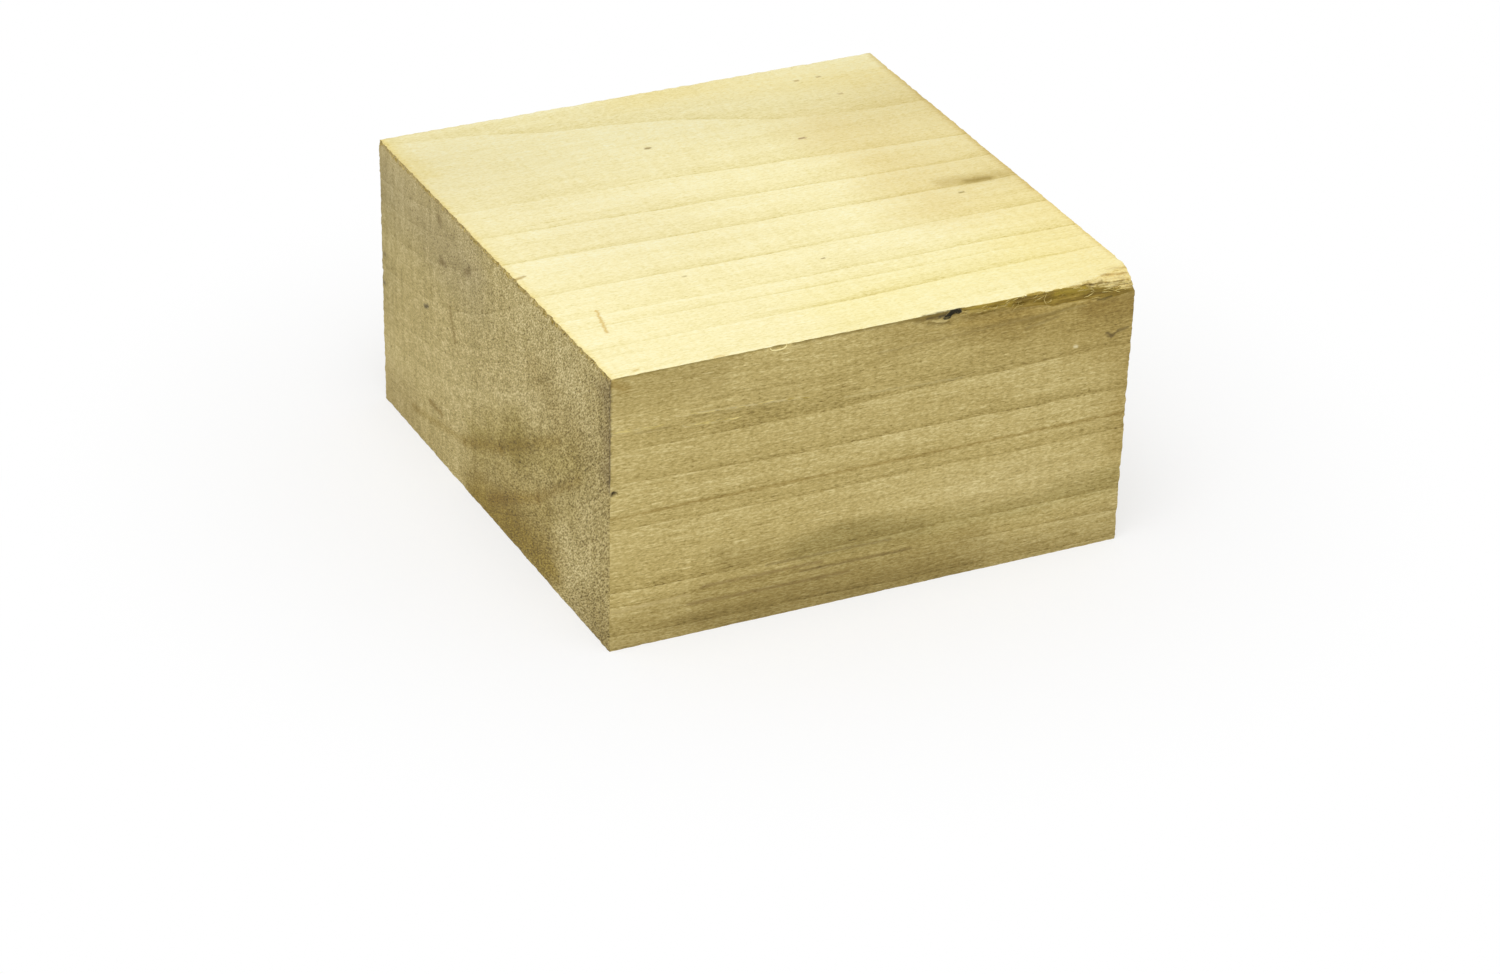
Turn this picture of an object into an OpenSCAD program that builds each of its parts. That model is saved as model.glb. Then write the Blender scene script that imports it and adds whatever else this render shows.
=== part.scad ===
// Bowl blank: one block of rough-sawn poplar, ready to be turned on a lathe.
// X runs along the grain from end to end, Y runs across it from the front face to the back face,
// and Z runs up through the thickness of the plank that the block was cut from.
// The origin is the middle of the sawn face that the block rests on.

/* [Block] */
// Length along the grain, over the top face
blank_length = 150; // [100:1:300]
// Width across the grain, over the top face
blank_width = 152; // [80:1:300]
// Thickness of the plank
blank_thickness = 79; // [40:1:150]

/* [Saw cuts] */
// Degrees that the left end leans out towards the top
left_end_lean = 0.5; // [0:0.1:3]
// Degrees that the right end leans out towards the top
right_end_lean = 0.7; // [0:0.1:3]
// Degrees that the front face leans out towards the top
front_lean = 0.2; // [0:0.1:3]
// Degrees that the back face leans out towards the top
back_lean = 0.7; // [0:0.1:3]

/* [Rounded corner] */
// How far the rounded corner runs along the top front edge from the right end
wane_length = 22; // [8:1:60]
// How far it reaches across the top face at the right end
wane_width = 8.5; // [6:0.5:16]
// How far it reaches down the front face at the right end
wane_drop = 5; // [3:0.5:8]
// Degrees between the rounded corner and the top face where they meet
wane_dip = 3; // [1:0.5:10]

/* [Torn grain] */
// Length of the shallow strip torn out of the front face under its top edge
tear_length = 72; // [30:1:90]
// Height of the strip
tear_height = 5.6; // [3:0.2:10]
// Depth of the strip at its middle
tear_depth = 1.1; // [0.4:0.1:1.4]
// Distance from the right end to the middle of the strip
tear_setback = 28; // [10:1:45]
// Sound wood left between the strip and the top face
tear_margin = 0.5; // [0.2:0.1:3]

/* [Hidden] */
$fn = 128;

// Waste left around the block before its four sides are sawn
saw_waste = 20;
// Extra length that carries each cut clear of the wood
overrun = 5;
// The same for the ends of the torn strip's ring, in degrees
ring_overrun = 1;
// Half the angle of a square corner
half_corner = 45;

// Where the top edges of the right end and the front face lie
right_edge = blank_length / 2;
front_edge = -blank_width / 2;

// Radius of the bar that the rounded corner follows, through the corner's two far edges at the right end
wane_fall = wane_drop * cos(wane_dip) - wane_width * sin(wane_dip);
wane_radius = (wane_width ^ 2 + wane_drop ^ 2) / (2 * wane_fall);
// Middle of that bar at the right end, and where it first grazes the sharp top front edge
wane_end = [
    right_edge,
    front_edge + wane_width + wane_radius * sin(wane_dip),
    blank_thickness - wane_radius * cos(wane_dip)
];
wane_start = [
    right_edge - wane_length,
    front_edge + wane_radius * cos(half_corner),
    blank_thickness - wane_radius * sin(half_corner)
];

// Radius of a circle through both ends of a chord that it rises above by the given height
function arc_radius(chord, rise) = (chord ^ 2 / 4 + rise ^ 2) / (2 * rise);

// The strip is cut by a thin ring that stands in front of the face and dips into it
tear_sweep = arc_radius(tear_length, tear_depth);
tear_section = arc_radius(tear_height, tear_depth);
tear_middle = blank_thickness - tear_margin - tear_height / 2;
// The front face leans, so at the strip's height it lies this far behind its top edge
tear_face = front_edge + (blank_thickness - tear_middle) * tan(front_lean);
// Half the turn of the ring that reaches into the wood
tear_turn = asin(tear_length / 2 / tear_sweep) + ring_overrun;

// Waste outside one sawn side: turned to face that side, and hinged on its top edge to lean
module saw_cut(turn, reach, lean) {
    span = blank_length + blank_width + 2 * saw_waste;
    rotate([0, 0, turn])
        translate([reach, 0, blank_thickness])
            rotate([0, lean, 0])
                translate([0, -span / 2, -blank_thickness - overrun])
                    cube([2 * saw_waste, span, blank_thickness + 2 * overrun]);
}

// The block as it leaves the saw, with six flat faces and sharp edges
module sawn_block() {
    difference() {
        translate([-blank_length / 2 - saw_waste, -blank_width / 2 - saw_waste, 0])
            cube([blank_length + 2 * saw_waste, blank_width + 2 * saw_waste, blank_thickness]);
        saw_cut(0, right_edge, right_end_lean);
        saw_cut(90, blank_width / 2, back_lean);
        saw_cut(180, blank_length / 2, left_end_lean);
        saw_cut(270, -front_edge, front_lean);
    }
}

// Round bar between two points, carried past both of them
module bar(from, to, radius) {
    run = to - from;
    translate(from)
        rotate([0, acos(run.z / norm(run)), atan2(run.y, run.x)])
            translate([0, 0, -overrun])
                cylinder(h = norm(run) + 2 * overrun, r = radius);
}

// Wood missing from the rounded corner: the square corner outside a bar that sinks towards the right end
module wane() {
    difference() {
        translate([right_edge - wane_length, front_edge - overrun, blank_thickness - wane_drop])
            cube([wane_length + overrun, wane_width + overrun, wane_drop + overrun]);
        bar(wane_start, wane_end, wane_radius);
    }
}

// Wood missing from the torn strip
module torn_grain() {
    translate([right_edge - tear_setback, tear_face + tear_depth - tear_sweep, tear_middle])
        rotate([0, 0, 90 - tear_turn])
            rotate_extrude(angle = 2 * tear_turn)
                translate([tear_sweep - tear_section, 0])
                    circle(r = tear_section);
}

module bowl_blank() {
    color("#d9c68a")
        difference() {
            sawn_block();
            wane();
            torn_grain();
        }
}

bowl_blank();
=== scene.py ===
# %% [markdown]
# # A rough-sawn bowl blank
# A bowl blank is a block of timber that a turner fixes to a lathe and hollows into a bowl.
# This one is yellow poplar, sawn on all six sides and never planed.
# At one corner the round outside of the tree still shows, with a strip of torn grain beside it.
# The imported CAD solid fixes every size, and this lesson gives it the surface of sawn wood.

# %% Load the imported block
import math

import bpy
import numpy as np
from mathutils import Matrix, Vector


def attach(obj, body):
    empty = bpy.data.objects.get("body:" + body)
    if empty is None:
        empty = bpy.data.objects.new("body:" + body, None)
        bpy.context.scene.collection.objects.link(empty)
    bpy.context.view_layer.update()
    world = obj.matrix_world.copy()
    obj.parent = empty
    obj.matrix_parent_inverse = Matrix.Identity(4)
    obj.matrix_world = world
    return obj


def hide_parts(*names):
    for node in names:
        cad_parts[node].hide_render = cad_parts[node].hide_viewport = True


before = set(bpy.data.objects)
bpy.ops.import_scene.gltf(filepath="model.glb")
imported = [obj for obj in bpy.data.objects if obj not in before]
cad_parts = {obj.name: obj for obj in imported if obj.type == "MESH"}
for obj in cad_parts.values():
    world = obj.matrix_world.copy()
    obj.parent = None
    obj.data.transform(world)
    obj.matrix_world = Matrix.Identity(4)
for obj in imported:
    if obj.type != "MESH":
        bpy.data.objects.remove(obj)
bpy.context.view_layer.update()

# %% [markdown]
# All lengths below are millimetres, because that is how a sawyer would measure the block.
# The four sides lean a little, so the block is larger over its top than over its base.
# Both outlines are read from the solid, so nothing has to be measured twice.

# %% Measure the solid
MM = 0.001
solid = np.array([v.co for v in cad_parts["bowl_blank"].data.vertices]) / MM
thickness = solid[:, 2].max()
TOUCH = 0.01
top_outline = solid[solid[:, 2] > thickness - TOUCH]
base_outline = solid[solid[:, 2] < TOUCH]
top_low, top_high = top_outline.min(0), top_outline.max(0)
base_low, base_high = base_outline.min(0), base_outline.max(0)
length, width = (top_high - top_low)[:2]
print(f"Block {length:.1f} x {width:.1f} x {thickness:.1f} mm over the top")

# %% [markdown]
# The camera stands to the left of the front face, about 1.4 metres away and well above it.
# Its turn, height and lens were fitted to the corners of the block, so the picture lines up
# with the photograph.
# A long lens keeps the edges almost parallel.

# %% Camera
CAMERA_TURN = math.radians(-26.6)
CAMERA_RISE = math.radians(28.946)
CAMERA_ROLL = math.radians(1.585)
CAMERA_DISTANCE = 1356.9
CAMERA_ASIDE = 2.17
CAMERA_ABOVE = -5.75
LENS = 119.41
SENSOR = 36.0

back = Vector((
    math.sin(CAMERA_TURN) * math.cos(CAMERA_RISE),
    -math.cos(CAMERA_TURN) * math.cos(CAMERA_RISE),
    math.sin(CAMERA_RISE),
))
level_right = Vector((math.cos(CAMERA_TURN), math.sin(CAMERA_TURN), 0.0))
level_up = back.cross(level_right)
right = math.cos(CAMERA_ROLL) * level_right + math.sin(CAMERA_ROLL) * level_up
up = math.cos(CAMERA_ROLL) * level_up - math.sin(CAMERA_ROLL) * level_right

camera_data = bpy.data.cameras.new("camera")
camera_data.lens = LENS
camera_data.sensor_width = SENSOR
camera = bpy.data.objects.new("camera", camera_data)
camera_place = (CAMERA_ASIDE * right + CAMERA_ABOVE * up + CAMERA_DISTANCE * back) * MM
camera_turn = Matrix((right, up, back)).transposed().to_4x4()
camera.matrix_world = Matrix.Translation(camera_place) @ camera_turn
bpy.context.scene.collection.objects.link(camera)
bpy.context.scene.camera = camera
print("Camera at", [round(v, 3) for v in camera_place], "metres")

# %% [markdown]
# One small function adds a shader node, sets it up and links it.
# Every material below is a chain of these calls, so each pattern can be read from its inputs to its colour.
# Colours are written as the sRGB hex values that a colour picker shows,
# and one function turns them to linear light.

# %% Shader helpers
def linear(hex_colour):
    """Linear RGBA of an sRGB hex colour."""
    channels = [int(hex_colour[i:i + 2], 16) / 255 for i in (1, 3, 5)]
    return [c / 12.92 if c <= 0.04045 else ((c + 0.055) / 1.055) ** 2.4 for c in channels] + [1.0]


def add(tree, kind, settings={}, inputs={}, stops=()):
    """Adds a shader node and sets it up. An input is a value, a socket or a node with one main output."""
    node = tree.nodes.new("ShaderNode" + kind)
    for name, value in settings.items():
        setattr(node, name, value)
    for key, value in inputs.items():
        if isinstance(value, bpy.types.Node):
            value = value.outputs[0]
        if isinstance(value, bpy.types.NodeSocket):
            tree.links.new(value, node.inputs[key])
        else:
            node.inputs[key].default_value = value
    for number, (position, colour) in enumerate(stops):
        elements = node.color_ramp.elements
        element = elements[number] if number < 2 else elements.new(position)
        element.position = position
        element.color = colour
    return node


def new_material(name):
    """An empty node material and its output node."""
    material = bpy.data.materials.new(name)
    material.use_nodes = True
    material.node_tree.nodes.clear()
    return material, add(material.node_tree, "OutputMaterial")


MULTIPLY, MULTIPLY_ADD, SUBTRACT, MAXIMUM = (
    {"operation": name} for name in ("MULTIPLY", "MULTIPLY_ADD", "SUBTRACT", "MAXIMUM"))
SMOOTH = {"interpolation_type": "SMOOTHSTEP"}
COLOUR = {"data_type": "RGBA"}

# %% [markdown]
# The stage is a pale floor under a white sky, lit by one broad soft lamp.
# The sky gives the plain level of light that reaches every face.
# What the camera sees of it is white by itself, so the wood needs no extra light to stand on white.

# %% Sky
scene = bpy.context.scene
scene.view_settings.view_transform = "Standard"

SKY_LEVEL = 0.55
WHITE_LEVEL = 1.0


def seen_directly(tree):
    """One for rays that show the background itself: straight from the camera, mirrored or refracted."""
    path = add(tree, "LightPath").outputs
    mirrored = add(tree, "Math", MAXIMUM, {0: path["Is Camera Ray"], 1: path["Is Glossy Ray"]})
    return add(tree, "Math", MAXIMUM, {0: mirrored, 1: path["Is Transmission Ray"]})


sky = bpy.data.worlds.new("sky")
sky.use_nodes = True
sky.node_tree.nodes.clear()
sky_strength = add(sky.node_tree, "MapRange", {}, {
    "Value": seen_directly(sky.node_tree), "To Min": SKY_LEVEL, "To Max": WHITE_LEVEL})
background = add(sky.node_tree, "Background", {}, {
    "Color": linear("#ffffff"), "Strength": sky_strength})
add(sky.node_tree, "OutputWorld", {}, {"Surface": background})
scene.world = sky
print("Sky level", SKY_LEVEL, "on the object and", WHITE_LEVEL, "behind it")

# %% [markdown]
# The lamp hangs overhead, a little to the front left, and lifts the top face above the sides.
# It is almost a metre wide, so its shadows are soft.
# Its power is worked out from the level of light that it adds to a face turned towards it,
# which is easier to choose than watts.

# %% Lamp
LAMP_AT = (-280, -380, 1300)
LAMP_SIZE = 900
LAMP_LEVEL = 0.58

lamp_place = Vector(LAMP_AT) * MM
aim = Vector((0, 0, thickness / 2)) * MM
lamp_data = bpy.data.lights.new("overhead", "AREA")
lamp_data.size = LAMP_SIZE * MM
lamp_data.energy = LAMP_LEVEL * (math.pi * (lamp_place - aim).length) ** 2
lamp = bpy.data.objects.new("overhead", lamp_data)
lamp.location = lamp_place
lamp.rotation_mode = "QUATERNION"
lamp.rotation_quaternion = (aim - lamp_place).to_track_quat("-Z", "Y")
scene.collection.objects.link(lamp)
print("Lamp of", round(lamp_data.energy, 2), "watts")

# %% [markdown]
# The floor is matt white paper, which scatters light evenly and shows no shine.
# Close to the block it takes a faint shadow, so the block looks set down on it.
# Further out it glows white by itself and runs into the sky without a line.

# %% Floor
FLOOR_SPAN = 60000
SHADOW_NEAR = 90
SHADOW_GONE = 200
GLOW_NEAR = 0.6

floor_material, output = new_material("white_paper_floor")
tree = floor_material.node_tree
paper = add(tree, "BsdfDiffuse", {}, {"Color": linear("#f4f4f4")})
glow = add(tree, "Emission", {}, {"Color": linear("#ffffff"), "Strength": WHITE_LEVEL})
away = add(tree, "VectorMath", {"operation": "LENGTH"}, {0: add(tree, "TexCoord").outputs["Object"]})
glow_share = add(tree, "MapRange", SMOOTH, {
    "Value": away.outputs["Value"], "From Min": SHADOW_NEAR * MM, "From Max": SHADOW_GONE * MM,
    "To Min": GLOW_NEAR})
seen = add(tree, "Math", MULTIPLY, {0: seen_directly(tree), 1: glow_share})
mixed = add(tree, "MixShader", {}, {"Fac": seen, 1: paper, 2: glow})
tree.links.new(mixed.outputs[0], output.inputs["Surface"])

floor_half = FLOOR_SPAN / 2 * MM
floor_corners = [(x * floor_half, y * floor_half, 0) for x, y in ((-1, -1), (1, -1), (1, 1), (-1, 1))]
floor_mesh = bpy.data.meshes.new("floor")
floor_mesh.from_pydata(floor_corners, [], [(0, 1, 2, 3)])
floor_mesh.materials.append(floor_material)
floor = bpy.data.objects.new("floor", floor_mesh)
scene.collection.objects.link(floor)
print("Floor", 2 * floor_half, "metres wide")

# %% [markdown]
# ## The sawn block
# A sawn block is almost a box, but its edges are never clean: the saw leaves ridges, fuzz and small chips.
# Those have to be real geometry to break the outline, so the block is a closed net
# of about ninety thousand small faces, whose points are then pressed in.
# The net is finest along the torn corner and at every edge, and its base stays one flat face.

# %% Rulers for the net
COARSE, MIDDLE, CLOSE, FINE = 1.2, 0.75, 0.65, 0.36
EDGE_BAND = 1.5
FRONT_BAND = 10.0
TOP_BAND = 8.0
TORN_FROM = 5.0
RULER_TRIALS = 4001


def ruler(start, stop, step_at):
    """Marks from start to stop, as far apart at each place as step_at says."""
    fine = np.linspace(start, stop, RULER_TRIALS)
    steps = step_at((fine[1:] + fine[:-1]) / 2)
    count = np.concatenate([[0], np.cumsum(np.diff(fine) / steps)])
    return np.interp(np.linspace(0, count[-1], round(count[-1]) + 1), count, fine)


def near_ends(at, start, stop):
    """True within the edge band of either end."""
    return np.minimum(at - start, stop - at) < EDGE_BAND


marks_x = ruler(top_low[0], top_high[0], lambda x: np.where(
    near_ends(x, top_low[0], top_high[0]), FINE, np.where(x > TORN_FROM, CLOSE, COARSE)))
marks_y = ruler(top_low[1], top_high[1], lambda y: np.where(
    near_ends(y, top_low[1], top_high[1]) | (y < top_low[1] + FRONT_BAND), FINE, MIDDLE))
marks_z = ruler(0, thickness, lambda z: np.where(
    near_ends(z, 0, thickness) | (z > thickness - TOP_BAND), FINE, MIDDLE))
last_x, last_y, last_z = len(marks_x) - 1, len(marks_y) - 1, len(marks_z) - 1
print("Net of", last_x, "x", last_y, "x", last_z, "cells")

# %% [markdown]
# Each side is a sheet of net points, and a point's code says where it lies on the three rulers.
# Sides that meet share the codes along their edge, so the net is closed and no seam has to be joined.
# The points then lean with the sides of the solid.

# %% Net of the sides
def sheet_of(i, j, k):
    """Codes of the net points on one side, one for each pair of the two rulers that vary."""
    i, j, k = np.broadcast_arrays(i, j, k)
    return (i * (last_y + 1) + j) * (last_z + 1) + k


all_x, all_y, all_z = (np.arange(n + 1) for n in (last_x, last_y, last_z))
SIDES = {
    "top": sheet_of(all_x[:, None], all_y, last_z),
    "front": sheet_of(all_x[:, None], 0, all_z),
    "back": sheet_of(all_x[:, None], last_y, all_z)[::-1],
    "right": sheet_of(last_x, all_y[:, None], all_z),
    "left": sheet_of(0, all_y[:, None], all_z)[::-1],
}
codes = np.unique(np.concatenate([s.ravel() for s in SIDES.values()]))
upright, k = np.divmod(codes, last_z + 1)
i, j = np.divmod(upright, last_y + 1)
on = {"left": i == 0, "right": i == last_x, "front": j == 0, "back": j == last_y,
      "top": k == last_z, "base": k == 0}

along, across, height = marks_x[i], marks_y[j], marks_z[k]
sink = 1 - height / thickness
shift_low, shift_high = base_low - top_low, base_high - top_high
lean_x = np.interp(along, [top_low[0], top_high[0]], [shift_low[0], shift_high[0]])
lean_y = np.interp(across, [top_low[1], top_high[1]], [shift_low[1], shift_high[1]])
points = np.stack([along + sink * lean_x, across + sink * lean_y, height], axis=1)
print(len(points), "points on the net")

# %% [markdown]
# Roughness comes from one function: smooth random heights with bumps of a chosen size in two directions.
# Its numbers come from a fixed seed, so the block is the same each time.
# The faces along the grain were ripped on a band saw, which leaves shallow ridges across the grain.
# The ends were cross-cut, which chops the fibres and leaves a coarse fuzz.

# %% Roughness of the saw cuts
def rough(a, b, size_a, size_b, seed):
    """Smooth random heights from -1 to 1, in bumps of the given sizes along two lengths."""
    a, b = (a - a.min()) / size_a, (b - b.min()) / size_b
    heights = np.random.default_rng(seed).uniform(-1, 1, (int(a.max()) + 2, int(b.max()) + 2))
    cell_a, cell_b = a.astype(int), b.astype(int)
    part_a, part_b = a - cell_a, b - cell_b
    ease_a, ease_b = part_a ** 2 * (3 - 2 * part_a), part_b ** 2 * (3 - 2 * part_b)
    near = heights[cell_a, cell_b] * (1 - ease_a) + heights[cell_a + 1, cell_b] * ease_a
    far = heights[cell_a, cell_b + 1] * (1 - ease_a) + heights[cell_a + 1, cell_b + 1] * ease_a
    return near * (1 - ease_b) + far * ease_b


SAW_PITCH = 4.4
RIDGE_DEPTH = 0.06
FUZZ_DEPTH = 0.05
END_FUZZ_DEPTH = 0.16
END_WAVE_DEPTH = 0.12
DRIFT = 2.5
DRIFT_SIZE = (25, 18)
FIBRE_SIZE = (5.0, 0.9)
CHOP_SIZE = (1.2, 1.2)
END_WAVE_SIZE = (4.0, 9.0)


def ripped(across_grain, seed):
    """Depth of a face sawn along the grain: blade ridges across it, and short raised fibres."""
    drift = rough(along, across_grain, *DRIFT_SIZE, seed)
    ridges = 0.5 + 0.5 * np.sin(2 * np.pi * along / SAW_PITCH + DRIFT * drift)
    fibres = 0.5 + 0.5 * rough(along, across_grain, *FIBRE_SIZE, seed + 1)
    return RIDGE_DEPTH * ridges + FUZZ_DEPTH * fibres


def cross_cut(seed):
    """Depth of a face sawn across the grain: chopped fibre ends, and broad waves where the blade wandered."""
    chopped = 0.5 + 0.5 * rough(across, height, *CHOP_SIZE, seed)
    waves = 0.5 + 0.5 * rough(across, height, *END_WAVE_SIZE, seed + 1)
    return END_FUZZ_DEPTH * chopped + END_WAVE_DEPTH * waves


depth = {"top": ripped(across, 11), "front": ripped(height, 21), "back": ripped(height, 31),
         "left": cross_cut(41), "right": cross_cut(51)}
print("Deepest saw mark", round(max(d.max() for d in depth.values()), 2), "mm")

# %% [markdown]
# Where two sawn faces meet, the fibres have nothing behind them and break off.
# Every edge loses a few small chips, the top edge of the left end is left finely toothed,
# and the near corner of the top, where three edges meet, is knocked off.
# Each side is pressed in by its own depth, and the points just round its edges follow part of the way,
# so the net is squeezed there and never folds over itself.

# %% Broken edges
OUTWARD = {"left": (0, -1), "right": (0, 1), "front": (1, -1), "back": (1, 1), "top": (2, 1)}
EDGE_LOSS = 0.10
EDGE_REACH = 0.8
CHIP_LOSS = 0.16
CORNER_LOSS = 0.35
CORNER_REACH = 1.8
TOOTH_LOSS = 0.32
TOOTH_REACH = 2.0
SQUEEZE = 2.5
CHIP_SIZE = 3.5
CHIP_FROM = 0.45
NICK_SIZE = 1.1
NICK_SHARE = 0.6
TOOTH_SIZE = (1.3, 40)
TOOTH_LEAST = 0.3

gap = {"left": along - top_low[0], "right": top_high[0] - along, "front": across - top_low[1],
       "back": top_high[1] - across, "top": thickness - height, "base": height}
unvaried = np.zeros_like(along)
# Unequal weights, so that the edges that meet at a corner do not break alike.
edge_run = along + 1.7 * across + 2.3 * height
chips = np.clip(rough(edge_run, unvaried, CHIP_SIZE, 1, 61) - CHIP_FROM, 0, None) / (1 - CHIP_FROM)
nicks = rough(edge_run, unvaried, NICK_SIZE, 1, 62)
loss = EDGE_LOSS * (1 + NICK_SHARE * nicks) + CHIP_LOSS * chips
near_corner = np.linalg.norm(np.stack([gap["left"], gap["front"], gap["top"]]), axis=0)
loss += CORNER_LOSS * np.exp(-(near_corner / CORNER_REACH) ** 2)
teeth = TOOTH_LOSS * np.clip(TOOTH_LEAST + rough(across, height, *TOOTH_SIZE, 63), 0, None)

press = np.zeros_like(points)
for side, (axis, way) in OUTWARD.items():
    to_edge = np.minimum.reduce([gap[other] for other in gap if other != side])
    depth[side] += loss * np.clip(1 - to_edge / EDGE_REACH, 0, 1)
    if side == "left":
        depth[side] += teeth * np.clip(1 - gap["top"] / TOOTH_REACH, 0, 1)
    press[:, axis] -= way * depth[side] * np.clip(1 - gap[side] / SQUEEZE, 0, 1)
print("Edges broken by up to", round(max(d.max() for d in depth.values()), 2), "mm")

# %% [markdown]
# The rounded corner is where the plank reached the outside of the log.
# In the solid it is a round bar that sinks towards the right end, with the square corner outside it gone.
# Here every point near that corner is drawn towards the middle of the bar,
# so the net rounds over without folding.

# %% Rounded corner
WANE_LENGTH = 22.0
WANE_WIDTH = 8.5
WANE_DROP = 5.0
WANE_DIP = math.radians(3)
ROUND_FULL = 0.5

wane_fall = WANE_DROP * math.cos(WANE_DIP) - WANE_WIDTH * math.sin(WANE_DIP)
wane_radius = (WANE_WIDTH ** 2 + WANE_DROP ** 2) / (2 * wane_fall)
bar_start = wane_radius * math.sqrt(0.5)
bar_end = (WANE_WIDTH + wane_radius * math.sin(WANE_DIP), wane_radius * math.cos(WANE_DIP))
along_bar = np.clip((points[:, 0] - top_high[0] + WANE_LENGTH) / WANE_LENGTH, 0, 1)
bar_in = bar_start + (bar_end[0] - bar_start) * along_bar
bar_down = bar_start + (bar_end[1] - bar_start) * along_bar

from_front = points[:, 1] - top_low[1]
from_top = thickness - points[:, 2]
to_corner = np.stack([bar_in - from_front, bar_down - from_top], axis=1)
reach = np.maximum(np.linalg.norm(to_corner, axis=1), TOUCH)
aim_in, aim_down = np.maximum(to_corner / reach[:, None], TOUCH).T
square_reach = np.minimum(bar_in / aim_in, bar_down / aim_down)
in_corner = (to_corner > 0).all(axis=1) & (along_bar > 0)
draw = np.where(in_corner, 1 - np.minimum(1, wane_radius / square_reach), 0)
wane_move = np.stack([np.zeros(len(points)), to_corner[:, 0] * draw, -to_corner[:, 1] * draw], axis=1)
round_over = np.clip(np.linalg.norm(wane_move, axis=1) / ROUND_FULL, 0, 1)
print("Corner rounded by up to", round(np.linalg.norm(wane_move, axis=1).max(), 2), "mm")

# %% [markdown]
# Beside the rounded corner a strip of grain was torn out of the front face, just under its top edge.
# The solid has it as a long shallow scoop, and the points of the front face follow that scoop here.
# Torn wood breaks along its fibres, so the scoop and the rounded corner get long ridges
# that run with the grain, and the edge between them is bitten off here and there.

# %% Torn grain
TEAR_LENGTH = 72.0
TEAR_HEIGHT = 5.6
TEAR_DEPTH = 1.1
TEAR_SETBACK = 28.0
TEAR_MARGIN = 0.5
LONG_SPLIT, SHORT_SPLIT = (9.0, 0.8), (3.0, 0.55)
SCOOP_FULL = 0.25
SPLIT_SHARE = 0.3
SPLIT_DEPTH = 0.22


def arc_radius(chord, rise):
    """Radius of a circle through both ends of a chord that it rises above by the given height."""
    return (chord ** 2 / 4 + rise ** 2) / (2 * rise)


sweep, section = arc_radius(TEAR_LENGTH, TEAR_DEPTH), arc_radius(TEAR_HEIGHT, TEAR_DEPTH)
off_middle = points[:, 0] - (top_high[0] - TEAR_SETBACK)
off_height = points[:, 2] - (thickness - TEAR_MARGIN - TEAR_HEIGHT / 2)
ring_reach = sweep - section + np.sqrt(np.clip(section ** 2 - off_height ** 2, 0, None))
scoop = TEAR_DEPTH - sweep + np.sqrt(np.clip(ring_reach ** 2 - off_middle ** 2, 0, None))
scoop = np.where(on["front"], np.clip(scoop, 0, None), 0)
splits = rough(along, height, *LONG_SPLIT, 71) + 0.6 * rough(along, height, *SHORT_SPLIT, 72)
in_scoop = np.clip(scoop / SCOOP_FULL, 0, 1)
scoop = np.clip(scoop * (1 + SPLIT_SHARE * splits) + SPLIT_DEPTH * in_scoop * splits, 0, None)
press[:, 1] += scoop

WANE_SPLIT = 0.45
LONG_STRAND, SHORT_STRAND = (12.0, 0.9), (3.0, 0.5)
round_it = across - height
strands = rough(along, round_it, *LONG_STRAND, 73) + 0.5 * rough(along, round_it, *SHORT_STRAND, 74)
inward = np.stack([np.zeros(len(points)), to_corner[:, 0], -to_corner[:, 1]], axis=1) / reach[:, None]
fluted = np.where(on["front"] | on["top"], round_over * WANE_SPLIT * np.abs(strands), 0)
press += inward * fluted[:, None]

RAGGED_FROM, RAGGED_FULL = 22.0, 40.0
RAGGED_REACH = 2.2
RAGGED_LOSS = 0.6
LONG_BITE, SHORT_BITE = 4.5, 1.5
bites = rough(along, unvaried, LONG_BITE, 1, 75) + 0.5 * rough(along, unvaried, SHORT_BITE, 1, 76)
bites = np.clip(0.3 + bites, 0, None)
bites *= np.clip((along - RAGGED_FROM) / (RAGGED_FULL - RAGGED_FROM), 0, 1)
bitten = RAGGED_LOSS * bites * np.clip(1 - np.maximum(from_front, from_top) / RAGGED_REACH, 0, 1)
press[:, 1] += np.where(on["front"], bitten, 0)
press[:, 2] -= np.where(on["top"], bitten, 0)
print("Torn strip", round(scoop.max(), 2), "mm deep, edge bitten by up to", round(bitten.max(), 2), "mm")

# %% [markdown]
# At the left end of the torn strip sits a small pocket of black bark with a tail, pressed into the edge.
# Further left the wood behind a loose splinter is hollow, so the splinter stands clear of it.
# A pin hole near the left edge of the front face is pressed in the same way.

# %% Bark pocket, splinter gap and pin hole
POCKETS = {
    "bark": {"at": (22.0, 77.9), "half": (2.0, 1.4), "depth": 1.6},
    "bark_tail": {"at": (19.9, 76.9), "half": (1.5, 0.9), "depth": 0.7},
    "splinter_gap": {"at": (-28.5, 78.3), "half": (2.3, 0.9), "depth": 0.45},
    "hole": {"at": (-73.5, 45.9), "half": (0.7, 0.9), "depth": 1.0},
}
sunk = {}
for label, pocket in POCKETS.items():
    aside, above = ((points[:, axis] - middle) / half
                    for axis, middle, half in zip((0, 2), pocket["at"], pocket["half"]))
    sunk[label] = np.where(on["front"], np.exp(-aside ** 2 - above ** 2), 0)
    press[:, 1] += pocket["depth"] * sunk[label] * (1 + SPLIT_SHARE * splits)
print("Pressed in:", ", ".join(POCKETS))

# %% [markdown]
# The torn wood has its own colours, so each point also carries how much of it is torn, rounded or bark.
# The dark strip is low at the right end, where the bright fibres of the rounded corner lie above it.

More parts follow.
